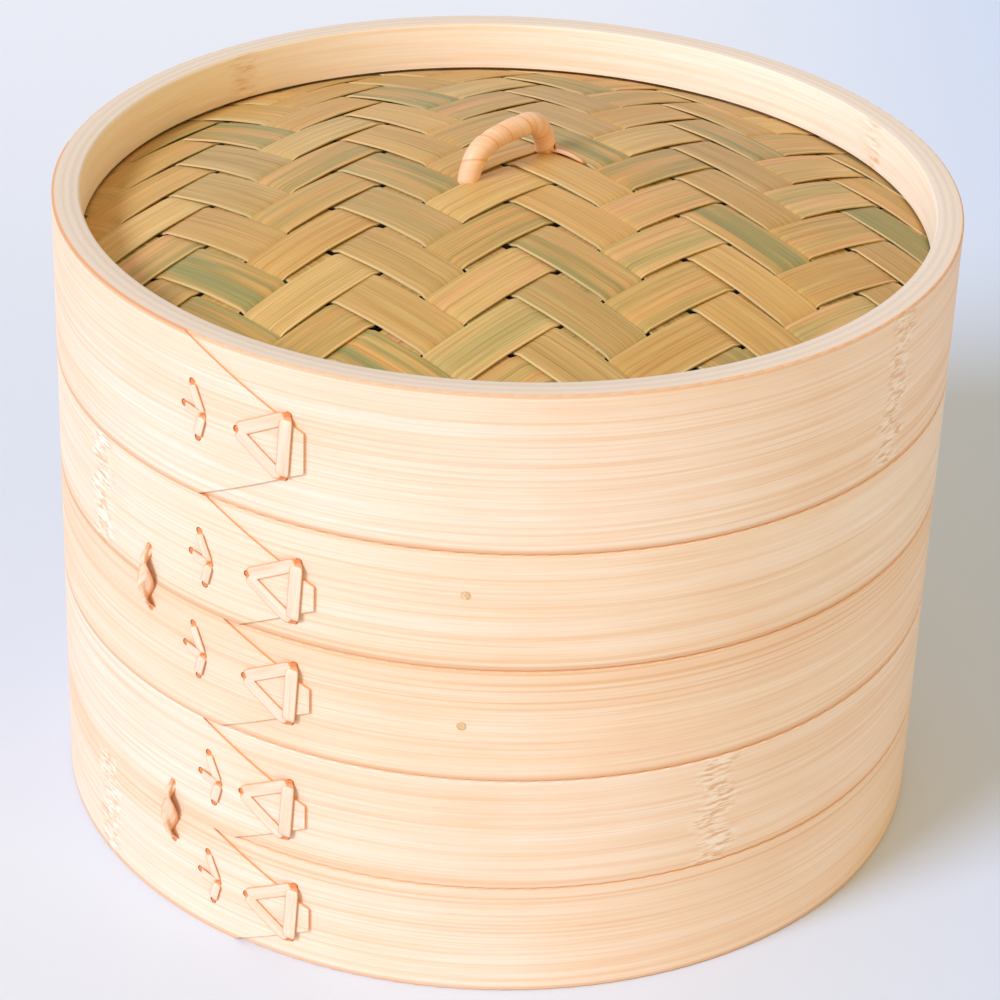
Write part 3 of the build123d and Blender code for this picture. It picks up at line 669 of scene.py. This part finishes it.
weave = {
    "turn": 47.0,
    "pitch": 16.8,
    "warpShift": -5.04,
    "weftShift": -5.85,
    "width": 14.85,
    "widthSpread": 0.35,
    "thickness": 0.5,
    "height": 0.48,  # mm that a strip rides above or below the dome's middle
    "bulge": 0.3,
    "ramp": 1.7,
    "reach": 122.2,
    "domeTop": 188.6,
    "domeRise": 19.1,
    "steps": 150,
    "across": 6,
    "stray": 0.25,  # mm that a strip lies off its place
    "skew": 0.4,  # % that it lies askew
    "wander": 0.18,  # mm aside, in waves of 2 pi times the run
    "wanderRun": 13,
    "trim": 0.8,
    "narrowest": 2.5,
    "crown": 0.04,
    "flattenFrom": 112,  # mm from the axis: the strips are pressed flat under the rim ring
    "flattenRun": 6,
    "edgeLift": 0.42,
    "rareGreen": 1.2,  # powers: the higher, the fewer strips have much of the colour
    "rarePink": 2,
    "phases": 9,
    "fibreShift": (700, 90),  # mm along and across the fibres, for each unit of phase
}
weftAxis = Vector((math.cos(math.radians(weave["turn"])), math.sin(math.radians(weave["turn"])), 0))
warpAxis = Vector((-weftAxis.y, weftAxis.x, 0))


def domeHeight(along, aside):
    return weave["domeTop"] - weave["domeRise"] / basket["ringBore"] ** 2 * (along ** 2 + aside ** 2)


def rides(along, crossingShift, isOver):
    spot = (along - crossingShift) / weave["pitch"]
    here = math.floor(spot + 0.5)
    beside = here + 1 if spot >= here else here - 1
    side = 1 if isOver(here) else -1
    fromGap = (0.5 - abs(spot - here)) * weave["pitch"]
    if isOver(here) != isOver(beside):
        side *= math.sin(math.pi / 2 * min(1, fromGap / weave["ramp"]))
    level = side * weave["height"]
    if isOver(here):
        middle = here + 0.5 if isOver(here + 1) else here - 0.5
        level += weave["bulge"] * math.cos(math.pi / 2 * min(1, abs(spot - middle))) ** 2
    return level


def wovenStrips(alongAxis, sideAxis, shift, crossingShift, over, looks):
    dice = random.Random(looks["seed"])
    low, high = looks["tone"]
    bm = bmesh.new()
    uvLayer = bm.loops.layers.uv.new("stripUV")
    toneLayer = bm.verts.layers.float_color.new("stripTone")
    count = int(basket["ringBore"] / weave["pitch"]) + 1
    for number in range(-count, count + 1):
        middle = shift + number * weave["pitch"] + dice.uniform(-weave["stray"], weave["stray"])
        width = weave["width"] + dice.uniform(-1, 1) * weave["widthSpread"]
        tone = low + (high - low) * dice.random()
        green = looks["green"] * dice.random() ** weave["rareGreen"]
        pink = looks["pink"] * dice.random() ** weave["rarePink"]
        phase = dice.uniform(0, weave["phases"])
        skew = dice.uniform(-weave["skew"], weave["skew"]) / 100
        lowSide = max(middle - width / 2, -weave["reach"] + weave["trim"])
        highSide = min(middle + width / 2, weave["reach"] - weave["trim"])
        if highSide - lowSide < weave["narrowest"]:
            continue
        grid = bmesh.ops.create_grid(
            bm, x_segments=weave["steps"], y_segments=weave["across"], size=0.5)["verts"]
        places = {}
        for vert in grid:
            w = vert.co.y
            aside = lowSide + (highSide - lowSide) * (w + 0.5)
            along = 2 * vert.co.x * math.sqrt(weave["reach"] ** 2 - aside ** 2)
            wander = skew * along + weave["wander"] * math.sin(along / weave["wanderRun"] + phase)
            distance = math.hypot(along, aside)
            inner = 1 - smoothStep((distance - weave["flattenFrom"]) / weave["flattenRun"])
            lift = rides(along, crossingShift, lambda other: over(number, other))
            lift = lift * (weave["edgeLift"] + (1 - weave["edgeLift"]) * inner)
            crown = -weave["crown"] * (2 * w) ** 2 * inner
            places[vert] = (along, aside)
            spot = alongAxis * along + sideAxis * (aside + wander * inner)
            vert.co = Vector((spot.x, spot.y, domeHeight(along, aside) + lift + crown)) * mm
            vert[toneLayer] = (tone, green, pink, max(0.0, -2 * w))  # the last part marks one edge of each strip, for a pale painted highlight on that side only
        shiftAlong, shiftAside = [size * phase for size in weave["fibreShift"]]
        for vert in grid:
            along, aside = places[vert]
            for corner in vert.link_loops:
                corner[uvLayer].uv = ((along + shiftAlong) * mm, (aside + shiftAside) * mm)
        faces = list({face for vert in grid for face in vert.link_faces})
        bmesh.ops.solidify(bm, geom=faces, thickness=weave["thickness"] * mm)
    return bm


# Split bamboo skin, dried: tan to khaki, greener where the culm's green skin was left on, with long
# brown fibre lines and a low satin gloss.
# edge: a pale painted highlight along one edge of each strip
stripLook = {
    "tan": "d8a85e", "khaki": "b8a06a", "straw": "e8c884", "brown": "bd8c48",
    "olive": "8a9158", "pink": "e2a577", "line": "8c6232", "edge": "f0d8a0", "fine": "c99f66",
    "streakShare": 0.38, "fineShare": 0.42, "lineShare": 0.34, "edgeShare": 0.6,
    "greenGain": 0.95, "greenLeast": 0.04,
    "smoothest": 0.4, "roughest": 0.62,
    "streakRelief": 0.8, "bump": 0.45, "bumpDepth": 0.25,
}
stripFibres = {
    "fine": (45.0, 0.6, 1000.0, 3.0),
    "streak": (90.0, 3.0, 1000.0, 4.0),
    "band": (85.0, 5.0, 1000.0, 2.0),
    "line": (160.0, 1.0, 1000.0, 2.0),
}


def driedStrip(name):
    material, tree, shader = newMaterial(name)
    place = addNode(tree, "ShaderNodeUVMap", {"uv_map": "stripUV"})
    marks = addNode(tree, "ShaderNodeAttribute", {"attribute_name": "stripTone"}).node.outputs
    strip = addNode(tree, "ShaderNodeSeparateColor", None, {"Color": marks["Color"]}).node.outputs
    grain = fibrePatterns(tree, place, stripFibres)
    tone = addNode(tree, "ShaderNodeValToRGB", {"stops": [
        (0.0, stripLook["khaki"]), (0.5, stripLook["tan"]), (1.0, stripLook["straw"])]}, {
        "Fac": strip["Red"]})
    streakTone = addNode(tree, "ShaderNodeValToRGB", {"stops": [
        (0.30, stripLook["straw"]), (0.5, stripLook["tan"]), (0.76, stripLook["brown"])]}, {
        "Fac": grain["streak"]})
    fineTone = addNode(tree, "ShaderNodeValToRGB", {"stops": [
        (0.34, stripLook["fine"]), (0.6, "ffffff")]}, {"Fac": grain["fine"]})
    skin = addNode(tree, "ShaderNodeMapRange", smoothRange, {
        "Value": grain["band"], "From Min": 0.36, "From Max": 0.66})
    greenShare = addNode(tree, "ShaderNodeMath", productPlus, {
        0: strip["Green"], 1: stripLook["greenGain"], 2: stripLook["greenLeast"]})
    green = addNode(tree, "ShaderNodeMath", product, {0: skin, 1: greenShare})
    flesh = addNode(tree, "ShaderNodeMapRange", smoothRange, {
        "Value": grain["band"], "From Min": 0.55, "From Max": 0.3})
    pink = addNode(tree, "ShaderNodeMath", product, {0: flesh, 1: strip["Blue"]})
    lines = addNode(tree, "ShaderNodeMapRange", smoothRange, {
        "Value": grain["line"], "From Min": 0.54, "From Max": 0.7,
        "To Min": 0.0, "To Max": stripLook["lineShare"]})
    # a pale painted highlight along one edge of each strip, where the light catches it
    edge = addNode(tree, "ShaderNodeMapRange", smoothRange, {
        "Value": marks["Alpha"], "From Min": 0.92, "From Max": 0.99,
        "To Min": 0.0, "To Max": stripLook["edgeShare"]})
    layers = [
        ("MIX", stripLook["streakShare"], streakTone),
        ("MIX", green, hexLinear(stripLook["olive"])),
        ("MIX", pink, hexLinear(stripLook["pink"])),
        ("MULTIPLY", stripLook["fineShare"], fineTone),
        ("MIX", lines, hexLinear(stripLook["line"])),
        ("MIX", edge, hexLinear(stripLook["edge"])),
    ]
    colour = tone
    for blend, share, over in layers:  # colours laid over each other in turn: how, how much and what
        colour = addNode(tree, "ShaderNodeMix", {"data_type": "RGBA", "blend_type": blend}, {
            "Factor": share, 6: colour, 7: over}, 2)
    tree.links.new(colour, shader.inputs["Base Color"])
    rough = addNode(tree, "ShaderNodeMapRange", None, {
        "Value": grain["streak"], "To Min": stripLook["smoothest"], "To Max": stripLook["roughest"]})
    tree.links.new(rough, shader.inputs["Roughness"])
    relief = addNode(tree, "ShaderNodeMath", productPlus, {
        0: grain["streak"], 1: stripLook["streakRelief"], 2: grain["fine"]})
    bump = addNode(tree, "ShaderNodeBump", None, {
        "Strength": stripLook["bump"], "Distance": stripLook["bumpDepth"] * mm, "Height": relief})
    tree.links.new(bump, shader.inputs["Normal"])
    return material


def warpOver(warp, weft):
    return (weft - warp) % 4 in (3, 0)


def weftOver(weft, warp):
    return not warpOver(warp, weft)


stripMaterial = driedStrip("split bamboo skin, dried, woven")
warpLooks = {"seed": 11, "tone": (0.3, 1.0), "green": 0.55, "pink": 1.0}
weftLooks = {"seed": 23, "tone": (0.0, 0.75), "green": 0.9, "pink": 0.45}
bm = wovenStrips(weftAxis, warpAxis, weave["warpShift"], weave["weftShift"], warpOver, warpLooks)
finishPiece(bm, "wovenWarp", stripMaterial, "lid", "woven_bamboo", "lid_weave_warp")
bm = wovenStrips(warpAxis, weftAxis, weave["weftShift"], weave["warpShift"], weftOver, weftLooks)
finishPiece(bm, "wovenWeft", stripMaterial, "lid", "woven_bamboo", "lid_weave_weft")
print("dome woven")


# The carrying loop: a cane core bound with one wide strip, each turn lapping over the last

loop = {
    "line": weave["warpShift"] + weave["pitch"] / 2,  # mm along the warp axis: the gap between two strips
    "near": -13.2,
    "far": 18.5,
    "peakAt": 7.6,
    "peak": 10.5,
    "below": 5.0,
    "rise": [(-14.0, 10.0), (-4.5, 10.3)],  # mm along and up: what the two curves pull towards
    "fall": [(13.5, 10.6), (18.5, 8.5)],
    "riseSteps": 60,
    "fallSteps": 50,
    "coreRadius": 2.5,
    "coreSteps": 60,
    "coreSides": 20,
    "coreWrap": 15,  # mm of fibres round the core
    "weld": 0.01,
    "turns": 6.3,
    "stripWidth": 8.4,
    "stripThickness": 0.3,
    "lapStep": 0.38,
}


def loopPath():
    low = -loop["below"]
    corners = [
        (loop["near"], low), *loop["rise"], (loop["peakAt"], loop["peak"]), *loop["fall"],
        (loop["far"], low)]
    foot = warpAxis * loop["line"] + Vector((0, 0, weave["domeTop"]))
    spots = [foot + weftAxis * u + Vector((0, 0, z)) for u, z in corners]
    rising = interpolate_bezier(spots[0], spots[1], spots[2], spots[3], loop["riseSteps"])
    falling = interpolate_bezier(spots[3], spots[4], spots[5], spots[6], loop["fallSteps"])
    return rising + falling[1:]


pathPoints = loopPath()
pathLengths = [0.0]
for before, after in zip(pathPoints, pathPoints[1:]):
    pathLengths.append(pathLengths[-1] + (after - before).length)


def onPath(distance):
    distance = min(max(distance, 0.0), pathLengths[-1] - 1e-6)
    index = max(i for i, length in enumerate(pathLengths[:-1]) if length <= distance)
    share = (distance - pathLengths[index]) / (pathLengths[index + 1] - pathLengths[index])
    before = pathPoints[max(index - 1, 0)]
    after = pathPoints[min(index + 2, len(pathPoints) - 1)]
    tangent = (after - before).normalized()
    return pathPoints[index].lerp(pathPoints[index + 1], share), tangent


def roundPath(distance, angle, radius):
    centre, tangent = onPath(distance)
    outward = tangent.cross(warpAxis).normalized()
    return (centre + (warpAxis * math.cos(angle) + outward * math.sin(angle)) * radius) * mm


bm = bmesh.new()
coreLength = pathLengths[-1]
grid = bmesh.ops.create_grid(
    bm, x_segments=loop["coreSteps"], y_segments=loop["coreSides"], size=0.5)["verts"]
uvLayer = bm.loops.layers.uv.new("strapUV")
for vert in grid:
    for corner in vert.link_loops:
        corner[uvLayer].uv = ((vert.co.x + 0.5) * coreLength * mm, vert.co.y * loop["coreWrap"] * mm)
for vert in grid:
    vert.co = roundPath((vert.co.x + 0.5) * coreLength, vert.co.y * 2 * math.pi, loop["coreRadius"])
bmesh.ops.remove_doubles(bm, verts=bm.verts, dist=loop["weld"] * mm)
bmesh.ops.holes_fill(bm, edges=[edge for edge in bm.edges if edge.is_boundary], sides=0)
finishPiece(bm, "loopCore", loopMaterial, "lid", "cane_core", "lid_loop_core")

binding = {
    "over": 0.5,  # mm past the dome's surface at each foot
    "slack": 1.5,
    "uneven": 0.9, "unevenRate": 1.7, "unevenFrom": 0.6,  # mm: no two turns are quite alike
    "swell": 0.12, "swellRate": 2.1,
    "clear": 0.25,
    "crown": 0.18,
    "startAngle": 0.8,
    "steps": 260, "across": 6,
    "length": 150, "shift": 0.3,  # of its fibres, in mm and in m
}
bm = bmesh.new()
bindingFrom = loop["below"] - binding["over"]
bindingTo = coreLength - loop["below"] + binding["over"]
pitchAlong = (bindingTo - bindingFrom) / loop["turns"]


def bindingPlace(t, w):
    turn = t * loop["turns"]
    uneven = binding["uneven"] * math.sin(turn * binding["unevenRate"] + binding["unevenFrom"])
    distance = bindingFrom + turn * pitchAlong + uneven + w * loop["stripWidth"]
    distance = min(max(distance, bindingFrom - binding["slack"]), bindingTo + binding["slack"])
    lapped = loop["lapStep"] * (0.5 + w) + binding["swell"] * math.sin(turn * binding["swellRate"])
    radius = loop["coreRadius"] + binding["clear"] + lapped + binding["crown"] * (1 - (2 * w) ** 2)
    return roundPath(distance, turn * 2 * math.pi + binding["startAngle"], radius)


layStrap(
    bm, binding["steps"], binding["across"], bindingPlace, binding["length"], loop["stripWidth"],
    loop["stripThickness"], binding["shift"])
# the binding's loose end, in mm on the dome
tail = {
    "start": (19.0, 2.2), "end": (19.2, -10.5), "width": 3.0, "above": 1.1, "lift": 0.6,
    "taper": 0.75, "steps": 16, "across": 3, "length": 11, "thickness": 0.3, "shift": 0.6,
}


def tailPlace(t, w):
    along = tail["start"][0] + (tail["end"][0] - tail["start"][0]) * t
    aside = tail["start"][1] + (tail["end"][1] - tail["start"][1]) * t
    along += w * tail["width"] * (1 - tail["taper"] * t)
    spot = weftAxis * along + warpAxis * aside
    height = domeHeight(along, aside) + tail["above"] + tail["lift"] * math.sin(math.pi * t)
    return Vector((spot.x, spot.y, height)) * mm


layStrap(
    bm, tail["steps"], tail["across"], tailPlace, tail["length"], tail["width"], tail["thickness"],
    tail["shift"])
finishPiece(bm, "loopBinding", loopMaterial, "lid", "split_cane", "lid_loop_binding")
print("loop bound")


# Studio: a pale sweep, a large soft key from the left, a quiet warm fill and a warm sky

studio = {
    # floorFar and floorRight are painted light: paler at the back and cooler at the right
    "floor": "dbe2f1",
    "floorFar": "eaf0ff",
    "floorRight": "c8dafc",
    "sky": "ffeec8",
    "keyEnergy": 1600.0,
    "keyColour": "d8e6ff",
    "fillEnergy": 8.0,
    "fillColour": "ffd877",
    "worldStrength": 0.61,
    "aim": (0, 0, 0.1),  # m, as the rest
    "keySpot": (-8.2, -6.8, 7.5),
    "keySize": 4.9,
    "fillSpot": (1.2, -1.4, 1.0),
    "fillSize": 1.4,
    "farAt": 0.7,
    "rightAt": 0.35,
    "paperRough": 0.9,
}
sweepSize = {"side": 4, "front": -3, "depth": 7, "height": 3, "bend": 1.2, "bendSteps": 16}  # m
camera = {
    "radius": 0.127,  # the fit below is in units of the outer radius
    "distance": 6.687845,
    "height": 4.467854,
    "pitch": 29.7139,
    "yaw": -0.0600,
    "roll": -2.2185,
    "lens": 119.17,
    "sensor": 36.0,
    "clip": 0.01,
}

bm = bmesh.new()
frontEdge = bm.edges.new(
    [bm.verts.new((side * sweepSize["side"], sweepSize["front"], 0)) for side in (-1, 1)])
flat = bmesh.ops.extrude_edge_only(bm, edges=[frontEdge])["geom"]
flatVerts = [part for part in flat if isinstance(part, bmesh.types.BMVert)]
bmesh.ops.translate(bm, verts=flatVerts, vec=(0, sweepSize["depth"], 0))
backEdge = [part for part in flat if isinstance(part, bmesh.types.BMEdge)]
wall = bmesh.ops.extrude_edge_only(bm, edges=backEdge)["geom"]
wallVerts = [part for part in wall if isinstance(part, bmesh.types.BMVert)]
bmesh.ops.translate(bm, verts=wallVerts, vec=(0, 0, sweepSize["height"]))
bmesh.ops.bevel(
    bm, geom=backEdge, offset=sweepSize["bend"], offset_type="OFFSET", segments=sweepSize["bendSteps"],
    profile=0.5, affect="EDGES", material=-1)
sweepMesh = bpy.data.meshes.new("studioSweep")
bm.to_mesh(sweepMesh)
bm.free()
sweep = bpy.data.objects.new("studioSweep", sweepMesh)
bpy.context.scene.collection.objects.link(sweep)
for face in sweepMesh.polygons:
    face.use_smooth = True
paper, tree, shader = newMaterial("matt paper sweep")
# painted light: the paper pales towards the back, against the key's falloff, and cools a little towards
# the right, against the warmth of the shade there
place = addNode(tree, "ShaderNodeTexCoord", output="Object")
axes = addNode(tree, "ShaderNodeSeparateXYZ", None, {"Vector": place}).node.outputs
far = addNode(tree, "ShaderNodeMapRange", None, {
    "Value": axes["Y"], "From Min": 0.0, "From Max": studio["farAt"]})
colour = addNode(tree, "ShaderNodeValToRGB", {"stops": [
    (0.0, studio["floor"]), (1.0, studio["floorFar"])]}, {"Fac": far})
right = addNode(tree, "ShaderNodeMapRange", smoothRange, {
    "Value": axes["X"], "From Min": 0.0, "From Max": studio["rightAt"]})
colour = addNode(tree, "ShaderNodeMix", {"data_type": "RGBA"}, {
    "Factor": right, 6: colour, 7: hexLinear(studio["floorRight"])}, 2)
tree.links.new(colour, shader.inputs["Base Color"])
shader.inputs["Roughness"].default_value = studio["paperRough"]
sweepMesh.materials.append(paper)

world = bpy.data.worlds.new("paleStudio")
world.use_nodes = True
bpy.context.scene.world = world
sky = world.node_tree.nodes["Background"]
sky.inputs["Color"].default_value = hexLinear(studio["sky"])
sky.inputs["Strength"].default_value = studio["worldStrength"]

for light in ("key", "fill"):
    data = bpy.data.lights.new(light + "Light", "AREA")
    data.shape = "DISK"
    data.size = studio[light + "Size"]
    data.energy = studio[light + "Energy"]
    data.color = hexLinear(studio[light + "Colour"])[:3]
    lamp = bpy.data.objects.new(light + "Light", data)
    bpy.context.scene.collection.objects.link(lamp)
    lamp.location = studio[light + "Spot"]
    towards = Vector(studio["aim"]) - Vector(studio[light + "Spot"])
    lamp.rotation_euler = towards.to_track_quat("-Z", "Y").to_euler()

lens = bpy.data.cameras.new("photoCamera")
lens.sensor_width = camera["sensor"]
lens.lens = camera["lens"]
lens.clip_start = camera["clip"]
eye = bpy.data.objects.new("photoCamera", lens)
bpy.context.scene.collection.objects.link(eye)
turned = (
    Matrix.Rotation(math.radians(camera["yaw"]), 4, "Z")
    @ Matrix.Rotation(math.radians(-camera["pitch"]), 4, "X")
    @ Matrix.Rotation(math.radians(camera["roll"]), 4, "Y")
    @ Matrix.Rotation(math.radians(90), 4, "X"))
spot = Vector((0, -camera["distance"], camera["height"])) * camera["radius"]
eye.matrix_world = Matrix.Translation(spot) @ turned
bpy.context.scene.camera = eye
bpy.context.scene.view_settings.view_transform = "Standard"
print("studio lit")
